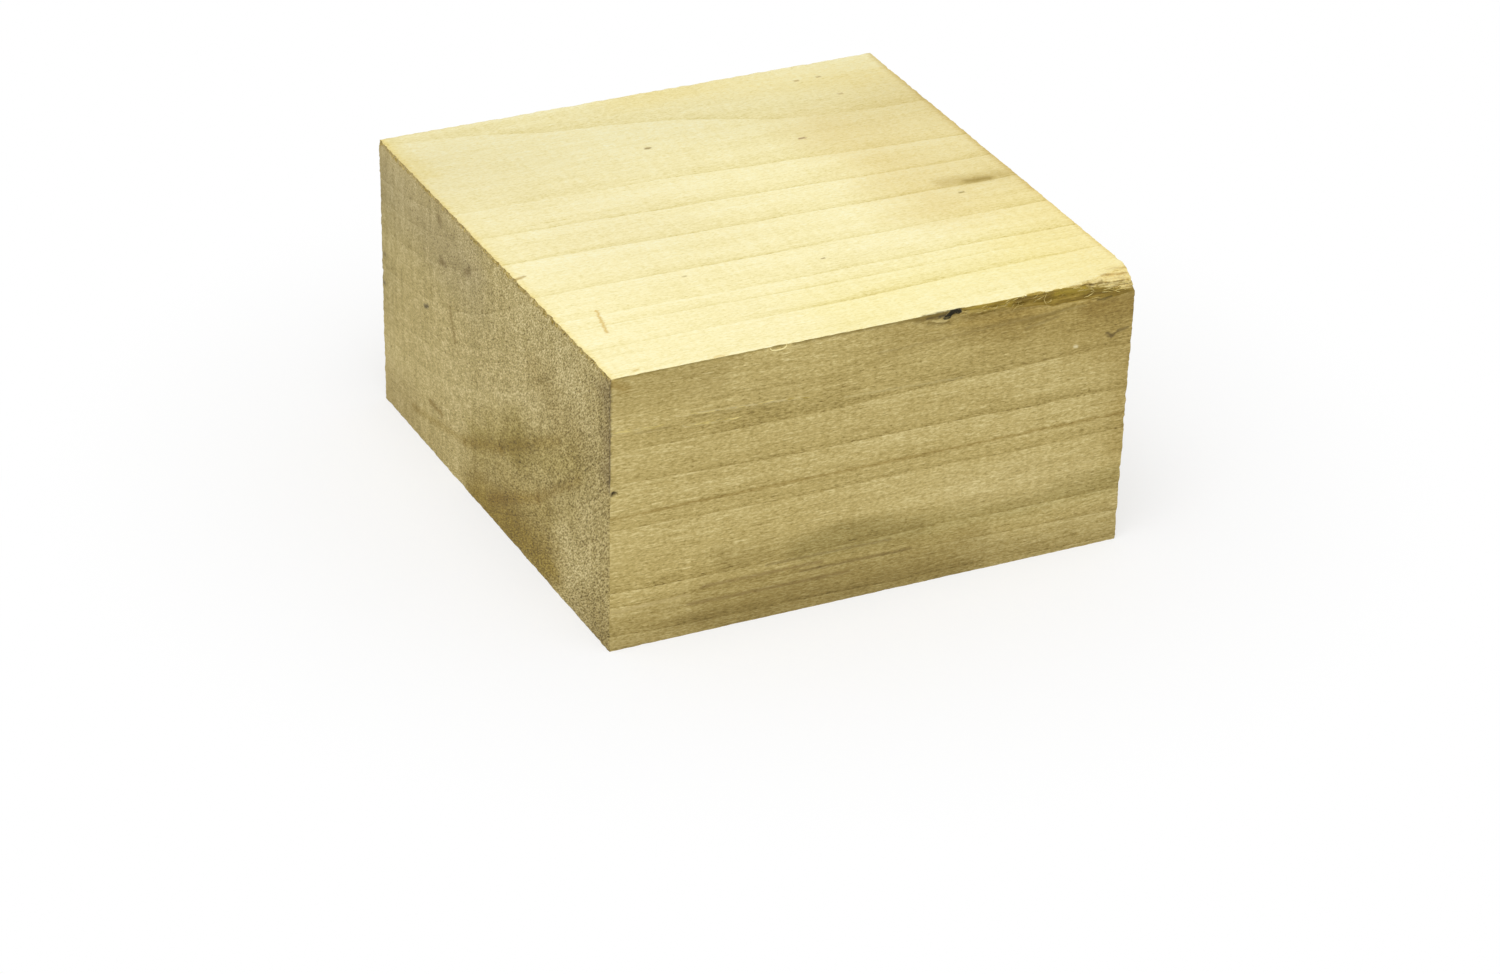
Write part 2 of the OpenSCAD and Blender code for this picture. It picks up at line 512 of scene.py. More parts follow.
# %% Where the torn colours go
STRIP_AT = [17, 24, 33, 40, 47, 54, 61, 75]
STRIP_LOW = [0.0, 1.4, 2.6, 4.3, 5.0, 5.3, 5.4, 5.6]
BRIGHT_AT = [60, 63, 66, 70, 75]
BRIGHT_LOW = [0.4, 1.9, 2.9, 3.4, 4.6]
RAGGED = 0.9
CRUMB_SIZE = (0.8, 0.7)
CRUMB_SHARE = 0.6
TAIL_SHARE = 0.8
BARK_GAIN, BARK_FLOOR = 2.2, 0.5

final = points + wane_move + press
final[on["base"], 2] = 0
below_top = thickness - final[:, 2] + RAGGED * 0.5 * splits
strip_low = np.interp(points[:, 0], STRIP_AT, STRIP_LOW)
bright_low = np.interp(points[:, 0], BRIGHT_AT, BRIGHT_LOW)
bright = round_over * np.clip((bright_low + RAGGED - below_top) / RAGGED, 0, 1)
torn_front = np.clip((strip_low - below_top) / RAGGED, 0, 1)
torn_edge = np.clip(4 * bitten - 1, 0, 1)
torn = np.where(on["front"], torn_front, torn_edge) * (1 - bright)
crumbs = 1 + CRUMB_SHARE * rough(along, height, *CRUMB_SIZE, 77)
bark = BARK_GAIN * (sunk["bark"] + TAIL_SHARE * sunk["bark_tail"]) * crumbs
bark = np.clip(bark - BARK_FLOOR, 0, 1)
print(int((torn > 0.5).sum()), "torn points and", int((bright > 0.5).sum()), "bright ones")

# %% [markdown]
# Now the net becomes a mesh: each sheet gives the faces of its side, and one flat face closes the base.
# The back and the right end are plain, so their faces are three cells wide and keep only the edges fine.
# Each face is given its finish, and each point carries its torn colours.

# %% Make the block
FINISH = {"top": 0, "front": 1, "left": 2, "back": 3, "right": 4}
SHARP_ANGLE = math.radians(40)
STRIDE = {"top": 1, "front": 1, "back": 3, "right": 3, "left": 1}


def faces_of(net, stride):
    """Faces of one side, each stride cells wide and tall, that keep every net point along its border."""
    rows, columns = ([*range(0, size - 1, stride), size - 1] for size in net.shape)
    faces = []
    for a0, a1 in zip(rows, rows[1:]):
        for b0, b1 in zip(columns, columns[1:]):
            borders = (
                (net[a0:a1 + 1, b0], b0 == 0),
                (net[a1, b0:b1 + 1], a1 == rows[-1]),
                (net[a0:a1 + 1, b1][::-1], b1 == columns[-1]),
                (net[a0, b0:b1 + 1][::-1], a0 == 0),
            )
            faces.append([point for line, kept in borders for point in (line[:-1] if kept else line[:1])])
    return faces


faces, finish_of = [], []
lookup = {name: np.searchsorted(codes, net) for name, net in SIDES.items()}
for name, net in lookup.items():
    found = faces_of(net, STRIDE[name])
    faces += found
    finish_of += [FINISH[name]] * len(found)
faces.append(np.concatenate([lookup[name][:-1, 0] for name in ("front", "right", "back", "left")])[::-1])
finish_of.append(FINISH["back"])

used, corner_of = np.unique(np.concatenate(faces), return_inverse=True)
faces = np.split(corner_of, np.cumsum([len(face) for face in faces])[:-1])
block_mesh = bpy.data.meshes.new("sawn_block")
block_mesh.from_pydata((final[used] * MM).tolist(), [], [face.tolist() for face in faces])
block_mesh.polygons.foreach_set("material_index", finish_of)
block_mesh.polygons.foreach_set("use_smooth", [True] * len(faces))
for label, values in {"torn": torn, "bright": bright, "bark": bark}.items():
    carried = block_mesh.attributes.new(label, "FLOAT", "POINT")
    carried.data.foreach_set("value", values[used].astype(np.float32))
block_mesh.update()
block_mesh.set_sharp_from_angle(angle=SHARP_ANGLE)
block = bpy.data.objects.new("sawn_block", block_mesh)
scene.collection.objects.link(block)
block_mesh.calc_loop_triangles()
print("Block has", len(block_mesh.loop_triangles), "triangles")

# %% [markdown]
# Torn wood leaves loose fibres, each made here as a three-sided thread that tapers at both ends.
# A real fibre is a few hundredths of a millimetre thick, too fine to show,
# so a thread stands for a small bundle of them and is drawn about a quarter of a millimetre thick.
# It is laid on the front face and wanders from its heading as it goes.

# %% Threads
FIBRE_RADIUS = 0.12
SPLINTER_RADIUS = 0.2
FIBRE_STEP = 0.45
STAND_OFF = 0.08
BLUNT = 0.12
SIDEWAYS = (0.3, 1.0, 0.2)


def thread(path, radius):
    """Points and faces of one thread along a path, in millimetres."""
    path = np.array(path, float)
    heading = np.gradient(path, axis=0)
    heading /= np.linalg.norm(heading, axis=1)[:, None]
    first = np.cross(heading, SIDEWAYS)
    first /= np.linalg.norm(first, axis=1)[:, None]
    second = np.cross(heading, first)
    thin = radius * np.sin(np.linspace(BLUNT, np.pi - BLUNT, len(path))) ** 0.5
    turns = np.array([0, 1, 2]) * 2 * np.pi / 3
    edges = [path + thin[:, None] * (math.cos(t) * first + math.sin(t) * second) for t in turns]
    corners = np.stack(edges, axis=1).reshape(-1, 3)
    sides = [(3 * n + t, 3 * n + (t + 1) % 3, 3 * n + 3 + (t + 1) % 3, 3 * n + 3 + t)
             for n in range(len(path) - 1) for t in range(3)]
    return corners, sides + [(2, 1, 0), (len(corners) - 3, len(corners) - 2, len(corners) - 1)]


def bundle_of(name, paths, radius):
    """One mesh object of many threads."""
    corners, sides = [], []
    for path in paths:
        found = thread(path, radius)
        sides += [tuple(len(corners) + c for c in side) for side in found[1]]
        corners += found[0].tolist()
    mesh = bpy.data.meshes.new(name)
    mesh.from_pydata((np.array(corners) * MM).tolist(), [], sides)
    mesh.update()
    bundle = bpy.data.objects.new(name, mesh)
    scene.collection.objects.link(bundle)
    print(name, "has", len(paths), "fibres")
    return bundle


def on_skin(at, up, stand_off=STAND_OFF):
    """A place just off the front face, or off the rounded corner above it."""
    i, k = np.abs(marks_x - at).argmin(), np.abs(marks_z - up).argmin()
    skin = final[np.searchsorted(codes, sheet_of(i, 0, k))]
    forward = max(skin[1] - stand_off, top_low[1] + FIBRE_RADIUS + TOUCH)
    return at, forward, min(up + skin[2] - marks_z[k], thickness - FIBRE_RADIUS - TOUCH)


dice = np.random.default_rng(81)


def loose_thread(at, up, span, heading, turn):
    """A thread that lies on the front face and wanders from its heading as it goes."""
    path = []
    for step in range(max(4, round(span / FIBRE_STEP))):
        path.append(on_skin(at, up))
        heading += dice.normal(0, turn)
        at, up = at + FIBRE_STEP * math.cos(heading), up + FIBRE_STEP * math.sin(heading)
    return path


# %% [markdown]
# A pale splinter hangs in a loop over the top edge of the front face, with a short tip to its left.
# They are thicker and brighter than the fibres, so they are a piece of their own.

# %% Splinters
SPLINTER = [(-30.9, 78.75), (-30.7, 78.2), (-30.2, 77.8), (-29.2, 77.6),
            (-27.8, 77.6), (-26.7, 77.8), (-26.2, 78.2), (-26.1, 78.75)]
TIP = [(-45.2, 78.75), (-44.8, 78.5), (-44.3, 78.2), (-43.7, 78.1)]
proud = top_low[1] + SPLINTER_RADIUS + TOUCH
loops = [[(x, proud, z) for x, z in line] for line in (SPLINTER, TIP)]
splinters = bundle_of("edge_splinters", loops, SPLINTER_RADIUS)

# %% [markdown]
# Other threads curl in the torn strip, cling to its edge and lie along the rounded corner.
# The saw also lifted the grain into lines of raised fibres on the front face,
# and left short stubs over the top edge of the left end.
# Their places are drawn at random from a fixed seed, within the ranges given here.

# %% Loose fibres
CURL = [(48.6, 78.0), (48.2, 77.0), (48.2, 76.0), (48.5, 75.2), (49.0, 74.7)]
HOOK = [(23.6, 76.4), (24.5, 77.0), (25.4, 76.6), (25.2, 75.6)]
CURL_STAND_OFF = 0.3
STRIP_FROM, STRIP_SPAN = 22, 40
paths = [[on_skin(x, z, CURL_STAND_OFF) for x, z in line] for line in (CURL, HOOK)]


def scatter(count, place, span, heading, turn):
    """Adds threads at the places that a function draws, with lengths and headings from the given ranges."""
    for number in range(count):
        at, up = place()
        paths.append(loose_thread(at, up, dice.uniform(*span), dice.normal(*heading), turn))


def in_strip():
    """A place in the torn strip."""
    at = STRIP_FROM + STRIP_SPAN * dice.uniform()
    low = thickness - np.interp(at, STRIP_AT, STRIP_LOW)
    return at, dice.uniform(low - 0.6, thickness - 0.8)


def at_strip_edge():
    """A place just under the edge above the torn strip."""
    return dice.uniform(36, 64), thickness - dice.uniform(0.5, 1.1)


def on_corner():
    """A place on the rounded corner."""
    return dice.uniform(60, 71), dice.uniform(74.6, 78.4)


scatter(count=28, place=in_strip, span=(1.2, 4.0), heading=(0.1, 0.3), turn=0.22)
scatter(count=16, place=at_strip_edge, span=(1.2, 2.4), heading=(0.4, 0.5), turn=0.3)
scatter(count=12, place=on_corner, span=(2.0, 5.0), heading=(-0.05, 0.12), turn=0.08)

RAISED_LINES = [((-75, 63.5), (-61.7, 62.9)), ((-56.4, 64.7), (-21, 62.6)), ((-54.6, 61.4), (-41.3, 60.6))]
RAISED_THREADS = 13
RAISED_HEADING, RAISED_TURN = -0.05, 0.04
for start, stop in RAISED_LINES:
    for number in range(RAISED_THREADS):
        share = dice.uniform()
        at, up = (a + (b - a) * share for a, b in zip(start, stop))
        up += dice.normal(0, 0.15)
        paths.append(loose_thread(at, up, dice.uniform(2.0, 5.0), RAISED_HEADING, RAISED_TURN))

STUBS = 190
STUB_START = 0.2
STUB_SWAY = 0.3
for number in range(STUBS):
    at = dice.uniform(top_low[1] + 0.5, top_high[1] - 0.5)
    drops = np.linspace(STUB_START, dice.uniform(0.7, 1.6), 4)
    row = np.abs(marks_y - at).argmin()
    rises = np.array([np.abs(marks_z - thickness + drop).argmin() for drop in drops])
    skin = final[np.searchsorted(codes, sheet_of(0, row, rises))][:, 0]
    off = np.maximum(skin - STAND_OFF, top_low[0] + FIBRE_RADIUS + TOUCH)
    paths.append([(x, at + STUB_SWAY * dice.normal() * drop, thickness - drop)
                  for x, drop in zip(off, drops)])
fibres = bundle_of("loose_fibres", paths, FIBRE_RADIUS)

# %% [markdown]
# ## Yellow poplar
# Yellow poplar, or tulipwood, is pale cream to olive, with soft growth rings that show as thin darker lines.
# Wood is a solid pattern: the same rings cross every face, as long lines on the sides and arcs on the ends.
# So the pattern is worked out from the place inside the block, round a pith line above and behind it.
# Two helpers come first: a cloudy pattern with patches of a real size, and a place that wanders.

# %% Clouds
def pattern(tree, place, size, detail=2.0):
    """Cloudy pattern, mostly from -1 to 1, with patches of the given sizes in mm along the place's axes."""
    scaled = add(tree, "VectorMath", {"operation": "DIVIDE"}, {0: place, 1: size})
    cloud = add(tree, "TexNoise", {}, {
        "Vector": scaled, "Scale": 1.0, "Detail": detail, "Roughness": 0.6})
    return add(tree, "MapRange", {"clamp": False}, {
        "Value": cloud, "From Min": 0.25, "From Max": 0.75, "To Min": -1.0})


def moved(tree, place, size, reach):
    """Place shifted at random by up to the given reach along each axis, in waves of the given size."""
    scaled = add(tree, "VectorMath", {"operation": "DIVIDE"}, {0: place, 1: size})
    cloud = add(tree, "TexNoise", {}, {"Vector": scaled, "Scale": 1.0, "Detail": 1.0})
    centred = add(tree, "VectorMath", SUBTRACT, {0: cloud.outputs["Color"], 1: (0.5, 0.5, 0.5)})
    twice = [2 * extent for extent in reach]
    return add(tree, "VectorMath", MULTIPLY_ADD, {0: centred, 1: twice, 2: place})


# %% [markdown]
# Each ring is given by where its edge crosses the top or the front face, at the left end and the right end.
# It starts pale, darkens slowly and stops at a sharp edge, where the next spring's growth begins.
# The innermost ring only grazes the top face, so its edge wanders there,
# and it is drawn as a curve of its own.

# %% Growth rings
PITH_ACROSS = 86.0
PITH_HEIGHT = 232.0
MEAN_RADIUS = 220.0
TOP_RINGS = [(58, 50), (25.2, 16.5), (9.3, 2.7), (-7.3, -11.5), (-28.2, -28.5),
             (-43.5, -44.3), (-49.0, -50.2), (-60.7, -57.3)]
FRONT_RINGS = [(56.9, 58.4), (48.0, 45.6), (34.9, 33.6), (16.9, 15.9), (13.0, 9.6), (4.8, 1.6), (-9, -12)]
GRAZED_RING = [(-75, 71), (-50, 67.5), (-33, 62.5), (-8, 58.5), (5, 55.5),
               (17, 51), (28, 46.5), (42, 43.3), (75, 40.5)]
GRAZED_DIP = 8.0
GRAZED_WIDTH = 24.0
GRAZED_AGE = 0.975
pith = (PITH_ACROSS, PITH_HEIGHT)
ring_radii = [[math.dist((ring[end], thickness), pith) for ring in TOP_RINGS]
              + [math.dist((top_low[1], ring[end]), pith) for ring in FRONT_RINGS] for end in (0, 1)]
ring_count = len(ring_radii[0]) - 1
inner, outer = ring_radii[0][0], ring_radii[0][-1]
print(ring_count, "rings, from", round(inner), "to", round(outer), "mm from the pith")


def around_pith(tree, place):
    """Place given as the length along the grain, the distance from the pith and the way round it."""
    away = add(tree, "VectorMath", SUBTRACT, {0: place, 1: (0, *pith)})
    x, y, z = add(tree, "SeparateXYZ", {}, {0: away}).outputs
    flat = add(tree, "CombineXYZ", {}, {1: y, 2: z})
    distance = add(tree, "VectorMath", {"operation": "LENGTH"}, {0: flat}).outputs["Value"]
    turn = add(tree, "Math", {"operation": "ARCTAN2"}, {0: y, 1: z})
    arc = add(tree, "Math", MULTIPLY, {0: turn, 1: MEAN_RADIUS})
    return add(tree, "CombineXYZ", {}, {0: x, 1: distance, 2: arc})


def ring_number(tree, distance, radii):
    """Share of all the rings that lie inside a distance from the pith."""
    span = radii[-1] - radii[0]
    share = add(tree, "MapRange", {}, {"Value": distance, "From Min": radii[0], "From Max": radii[-1]})
    numbers = [number / ring_count for number in range(len(radii))]
    stops = [((radius - radii[0]) / span, (n, n, n, 1)) for radius, n in zip(radii, numbers)]
    return add(tree, "ValToRGB", {}, {"Fac": share}, stops).outputs["Color"]


def growth(tree, place, true_place):
    """How far through its ring a place lies, from 0 to 1."""
    x, distance = add(tree, "SeparateXYZ", {}, {0: around_pith(tree, place)}).outputs[:2]
    run = add(tree, "MapRange", {}, {"Value": x, "From Min": top_low[0], "From Max": top_high[0]})
    left, right = (ring_number(tree, distance, radii) for radii in ring_radii)
    share = add(tree, "Mix", {}, {0: run, 2: left, 3: right})
    counted = add(tree, "Math", MULTIPLY, {0: share, 1: float(ring_count)})
    age = add(tree, "Math", {"operation": "FRACT"}, {0: counted})

    curve = add(tree, "FloatCurve", {}, {"Value": run})
    bends = curve.mapping.curves[0].points
    for number, (at, edge) in enumerate(GRAZED_RING):
        spot = ((at - top_low[0]) / length, edge / width)
        if number < 2:
            bends[number].location = spot
        else:
            bends.new(*spot)
    curve.mapping.update()
    y, z = add(tree, "SeparateXYZ", {}, {0: true_place}).outputs[1:]
    past_edge = add(tree, "Math", MULTIPLY_ADD, {0: curve, 1: -width, 2: y})
    dipped = add(tree, "Math", MULTIPLY_ADD, {0: z, 1: GRAZED_DIP, 2: past_edge})
    inside = add(tree, "Math", SUBTRACT, {0: dipped, 1: GRAZED_DIP * thickness})
    grazed = add(tree, "MapRange", {}, {
        "Value": inside, "From Max": GRAZED_WIDTH, "To Min": GRAZED_AGE, "To Max": 0.0})
    within = add(tree, "Math", {"operation": "GREATER_THAN"}, {0: inside, 1: 0.0})
    return add(tree, "Mix", {}, {0: within, 2: age, 3: grazed})


# %% [markdown]
# Dirt, damp and pin knots leave marks on the wood, and some patches are browner or paler than the rest.
# A few marks on the front are painted light and painted shade: pale patches in the torn strip, and a dark
# patch behind the loop splinter.
# Each mark is a short line with a width and a colour, drawn on a flat map of its face,
# and its border is made ragged by shifting the place that it is looked up at.
# A knot or hole covers the wood, a stain multiplies its colour and a pale patch lightens it,
# so the fibres still show.

# %% One mark
def marked(tree, colour, place, blend, start, stop, half_width, tint, strength=1.0):
    """Colour with one mark added, along a line from start to stop on a flat map of the face."""
    line = Vector((*stop, 0)) - Vector((*start, 0))
    per_length = line / max(line.length_squared, TOUCH)
    away = add(tree, "VectorMath", SUBTRACT, {0: place, 1: (*start, 0)})
    along_line = add(tree, "VectorMath", {"operation": "DOT_PRODUCT"}, {0: away, 1: per_length})
    held = add(tree, "Clamp", {}, {0: along_line.outputs["Value"]})
    nearest = add(tree, "VectorMath", {"operation": "SCALE"}, {0: line, "Scale": held})
    off_line = add(tree, "VectorMath", {"operation": "DISTANCE"}, {0: away, 1: nearest})
    cover = add(tree, "MapRange", SMOOTH, {
        "Value": off_line.outputs["Value"], "From Min": half_width, "From Max": 0, "To Max": strength})
    return add(tree, "Mix", {**COLOUR, "blend_type": blend}, {
        0: cover, 6: colour, 7: linear(tint)}).outputs[2]


KNOT, STAIN, PALE = "MIX", "MULTIPLY", "SCREEN"

# %% [markdown]
# The split fibres of the rounded corner run over from the top to the front, dark and bright by turns.
# Their places have all three lengths, so each face's flat map takes the two that it needs.
# The top has only faint broad tints besides, a few pin knots and a thin dirty line along its left edge.

# %% Marks on the corner and the top
CORNER_MARKS = [
    (KNOT, (59.5, -75.0, 78.6), (65.5, -74.4, 77.9), 0.6, "#8f7634", 0.8),
    (KNOT, (61.5, -75.3, 77.7), (72.0, -74.4, 76.5), 0.6, "#846a26", 0.85),
    (KNOT, (66.0, -72.9, 78.7), (74.5, -72.3, 77.7), 0.55, "#cdb478", 0.7),
    (KNOT, (68.5, -71.0, 78.9), (74.8, -70.5, 78.4), 0.5, "#d6c084", 0.6),
    (KNOT, (69.0, -75.2, 76.2), (74.5, -74.9, 75.6), 0.5, "#8f7634", 0.6),
    (KNOT, (63.5, -75.4, 77.1), (73.5, -74.6, 76.0), 0.5, "#f3e3a4", 0.8),
    (KNOT, (64.0, -74.2, 78.3), (73.0, -73.3, 77.2), 0.5, "#f7e8ae", 0.7),
]
TOP_MARKS = [(blend, start[:2], stop[:2], *rest) for blend, start, stop, *rest in CORNER_MARKS] + [
    (STAIN, (-75, 57), (75, 57), 45, "#f5f4f1"),
    (STAIN, (75, 36), (75, 0), 44, "#f0e9d9"),
    (STAIN, (42, 34), (46, -20), 24, "#f6f0e3"),
    (STAIN, (75, -40), (75, -76), 45, "#fcf7e6"),
    (STAIN, (-75, 45), (-40, 5), 55, "#f9f8f8"),
    (STAIN, (-5, 76), (75, 62), 14, "#fefaec"),
    (STAIN, (0, -66), (52, -56), 26, "#fefdf1"),
    (STAIN, (-75, 76), (-75, -76), 2.6, "#fdf6de"),
    (STAIN, (-75, 76), (-71, 50), 6, "#fdfaec"),
    (STAIN, (75, 76), (75, -20), 3.0, "#eae0c4"),
    (STAIN, (75, -20), (75, -64), 2.5, "#f6eeda"),
    (KNOT, (-75, 76), (-75, -76), 0.7, "#b8a462", 0.5),
    (KNOT, (-67.6, -74.2), (-66.6, -74.0), 1.0, "#d8bd70", 0.8),
    (KNOT, (-46.0, -75.3), (-43.5, -75.4), 0.8, "#e0c67c", 0.7),
    (KNOT, (12.5, -75.9), (19.8, -75.8), 0.9, "#5c4c1e", 0.85),
    (KNOT, (20.0, -75.9), (24.0, -75.9), 0.8, "#2a220e", 0.9),
    (KNOT, (-10.5, 42.4), (-9.3, 42.4), 0.9, "#a08a55", 0.9),
    (KNOT, (30.8, 31.9), (32.2, 31.9), 0.9, "#a07c50", 0.9),
    (KNOT, (55.3, -15.3), (56.3, -15.3), 0.8, "#9c8848", 0.9),
    (KNOT, (3.6, -36.3), (4.0, -36.3), 0.7, "#a89258", 0.9),
    (KNOT, (-34.2, -31.6), (-33.5, -31.6), 0.7, "#b7a46a", 0.8),
    (KNOT, (46.4, 66.6), (47.3, 66.6), 0.8, "#b89f68", 0.8),
    (KNOT, (53.3, 66.6), (54.2, 66.6), 0.8, "#b89f68", 0.8),
    (KNOT, (53.8, 54.1), (55.0, 54.1), 0.8, "#b89f68", 0.8),
    (STAIN, (54.0, -8.2), (71.0, -9.4), 5.0, "#e6e0cd"),
    (STAIN, (60.5, -9.8), (66.5, -10.2), 2.4, "#cfc7a6"),
    (KNOT, (-62.7, -40.6), (-65.2, -52.6), 0.8, "#d8b766", 0.8),
    (KNOT, (-71.8, -15.6), (-74.2, -16.4), 1.0, "#b99c58", 0.8),
]
print(len(TOP_MARKS), "marks on the top")

# %% [markdown]
# The front has a dark foot, streaks that follow the grain, pale lines where fibres were lifted,
# dirt in its top and left edges, and the hook of a small crack at the right.

# %% Marks on the front
FRONT_MARKS = [(blend, start[::2], stop[::2], *rest) for blend, start, stop, *rest in CORNER_MARKS] + [
    (STAIN, (-75, 2), (75, 2), 14, "#e2e0da"),
    (STAIN, (-42, 5), (24, 5), 17, "#e2dece"),
    (STAIN, (-44, 20.5), (12, 19), 7.5, "#ebe9e1"),
    (STAIN, (-20, 17.5), (75, 17), 7.5, "#e8e8de"),
    (PALE, (-14, 28), (45, 28), 9, "#322c1e"),
    (PALE, (24, 25), (60, 23), 10, "#342e24"),
    (STAIN, (75, 66), (35, 76), 20, "#e6dfc8"),
    (STAIN, (75, 70.5), (62, 71.5), 6, "#ddd5b8"),
    (STAIN, (-75, 77), (-45, 75), 11, "#efede6"),
    (STAIN, (2, 77), (40, 74), 11, "#ebe7da"),
    (STAIN, (75, 50), (75, 32), 14, "#ebe6d6"),
    (KNOT, (0, 70.8), (60, 72.6), 0.6, "#97834a", 0.4),
    (KNOT, (60, 75.3), (75, 74.0), 0.9, "#7a6420", 0.55),
    # These two pale patches are painted light: they lift the shade that the bitten edge and the scoop cast in
    # the torn strip.
    (PALE, (27, 77.6), (38, 77.2), 2.4, "#847026"),
    (PALE, (52, 77.2), (60, 76.8), 2.2, "#806e1e"),
    (KNOT, (-48, 13.4), (-14, 13.0), 0.9, "#836a38", 0.5),
    (KNOT, (-30, 15.6), (6, 15.2), 0.7, "#7d6a38", 0.5),
    (KNOT, (-52, 9.0), (-6, 8.2), 0.9, "#7e6634", 0.5),
    (KNOT, (-20, 11.4), (12, 11.0), 0.8, "#786334", 0.5),
    (KNOT, (-75, 11.4), (-52, 11.8), 0.9, "#c8b47a", 0.5),
    (KNOT, *RAISED_LINES[0], 0.5, "#dfcf94", 0.6),
    (KNOT, *RAISED_LINES[1], 0.5, "#e6d69c", 0.6),
    (KNOT, *RAISED_LINES[2], 0.5, "#dccc90", 0.6),
    (KNOT, (-68, 62.2), (-58, 61.8), 0.5, "#8a7840", 0.35),
    (KNOT, (-52, 63.6), (-30, 62.3), 0.5, "#8f7d45", 0.3),
    (KNOT, (-75, 79), (-75, 48), 1.0, "#6e5f38", 0.8),
    (KNOT, (-75, 48), (-75, 0), 0.6, "#85744a", 0.5),
    (KNOT, (57, 73.2), (42, 70.8), 0.8, "#86702c", 0.6),
    (KNOT, (52, 70.8), (43, 69.4), 0.7, "#86723a", 0.5),
    (KNOT, (64.0, 73.2), (67.8, 73.7), 0.6, "#5c4c14", 0.8),
    (KNOT, (10.5, 77.9), (18.6, 78.2), 1.3, "#7c6626", 0.8),
    (KNOT, (14.0, 78.2), (16.4, 78.4), 1.1, "#463812", 0.95),
    (KNOT, (17.4, 77.9), (19.4, 78.3), 1.1, "#33290f", 0.95),
    (KNOT, (14.0, 76.6), (20.5, 75.2), 0.7, "#7c6728", 0.7),
    (KNOT, (15.5, 76.9), (20.0, 75.8), 0.6, "#dcc884", 0.8),
    (STAIN, (-74, 77.2), (-70.4, 75.2), 2.4, "#e8e0c8"),
    (KNOT, (-73, 78.6), (-32, 78.7), 0.7, "#8c7838", 0.6),
    (KNOT, (-24, 78.6), (20, 78.5), 0.9, "#857030", 0.75),
    # This dark patch inside the loop splinter is painted shade, in the hollow behind the splinter.
    (KNOT, (-29.8, 78.4), (-27.2, 78.4), 0.8, "#8e7a38", 0.7),
    (STAIN, (-75, 38.9), (75, 38.3), 0.9, "#dcd4ba", 0.9),
    (KNOT, (-9, 60.2), (25, 58.8), 0.5, "#d8c88c", 0.4),
    (PALE, (-50, 70), (-26, 66), 9, "#241f16"),
    (KNOT, (-73.4, 45.9), (-73.6, 45.9), 1.1, "#3b2f1c"),
    (KNOT, (57.8, 60.9), (58.2, 60.9), 0.8, "#efe2b0", 0.9),
    (KNOT, (67.2, 62.9), (68.6, 62.0), 0.9, "#6d5a2a", 0.9),
    (KNOT, (68.6, 62.0), (70.3, 63.0), 0.8, "#6d5a2a", 0.9),
    (KNOT, (70.3, 63.0), (73.3, 63.5), 0.8, "#7d6a35", 0.8),
]
print(len(FRONT_MARKS), "marks on the front")

# %% [markdown]
# On the left end the rings show only as broad soft arcs, pale and dark, so they are drawn as long marks.
# Damp has darkened its foot and its near edge.

# %% Marks on the left end
END_MARKS = [
    (STAIN, (8, 20), (-18, 33), 13, "#dfdab6"),
    (STAIN, (-18, 32), (-56, 44), 14, "#e6e2c6"),
    (STAIN, (-38, 22), (-52, 30), 13, "#e4e0cc"),
    (STAIN, (-30, 57), (-54, 52), 13, "#ece8da"),
    (STAIN, (8, 2), (-36, 5), 17, "#c6b976"),
    (STAIN, (-10, 12), (-34, 20), 14, "#ebe6cc"),
    (STAIN, (70, 68), (14, 64), 22, "#f0f0f2"),
    (STAIN, (76, 60), (76, 36), 20, "#f1f1f0"),
    (STAIN, (-76, 70), (-76, 0), 26, "#e9e5d4"),
    (STAIN, (-76, 74), (-76, 50), 9.5, "#dad6d6"),
    (STAIN, (-58, 0), (-76, 3), 13, "#dedace"),
    (PALE, (70, 74), (16, 70), 20, "#0a0a24"),
    (PALE, (76, 21.5), (38, 25), 4, "#302a1a"),
    (PALE, (38, 25), (9, 33), 4, "#484028"),
    (PALE, (9, 33), (-31, 51.5), 5, "#443a26"),
    (PALE, (-31, 51.5), (-64, 70), 5, "#1e1a10"),
    (PALE, (-56, 14), (-68, 26), 9, "#2c2618"),
    (STAIN, (76, 4), (56, 6), 13, "#ebe8e2"),
    (STAIN, (54, 7.3), (18, 14.5), 2.2, "#e8e2cc"),
    (STAIN, (18, 14.5), (-7, 25), 3.2, "#e2dab8"),
    (STAIN, (-7, 25), (-44, 45.7), 3.6, "#e5dec2"),
    (STAIN, (1, 5.7), (-31, 22.3), 3.0, "#e2d8b4"),
    (STAIN, (-31, 22.3), (-57, 40.7), 3.0, "#e0d8be"),
    (STAIN, (34, 74), (33, 73), 2.4, "#d2ccc0"),
    (STAIN, (33, 62), (30, 62), 2.2, "#cfc8ba"),
    (STAIN, (16, 66), (13, 68), 2.4, "#d2ccbe"),
    (STAIN, (27, 50), (24, 42), 2.2, "#ddd6c4"),
    (STAIN, (42, 15), (34, 15), 2.0, "#d2c8ac"),
    (KNOT, (44.6, 42.8), (42.4, 43.9), 1.1, "#55492c", 0.9),
    (KNOT, (73.0, 45.5), (74.0, 45.3), 1.2, "#857446", 0.8),
    (KNOT, (73.6, 36.5), (74.6, 36.2), 1.2, "#6d6040", 0.8),
    (KNOT, (-76, 79), (-76, 46), 1.1, "#5e5032", 0.8),
    (KNOT, (-76, 46), (-76, 0), 0.7, "#776840", 0.6),
    (STAIN, (76, 79), (-76, 79), 1.6, "#dcd2b8", 0.8),
]
print(len(END_MARKS), "marks on the left end")
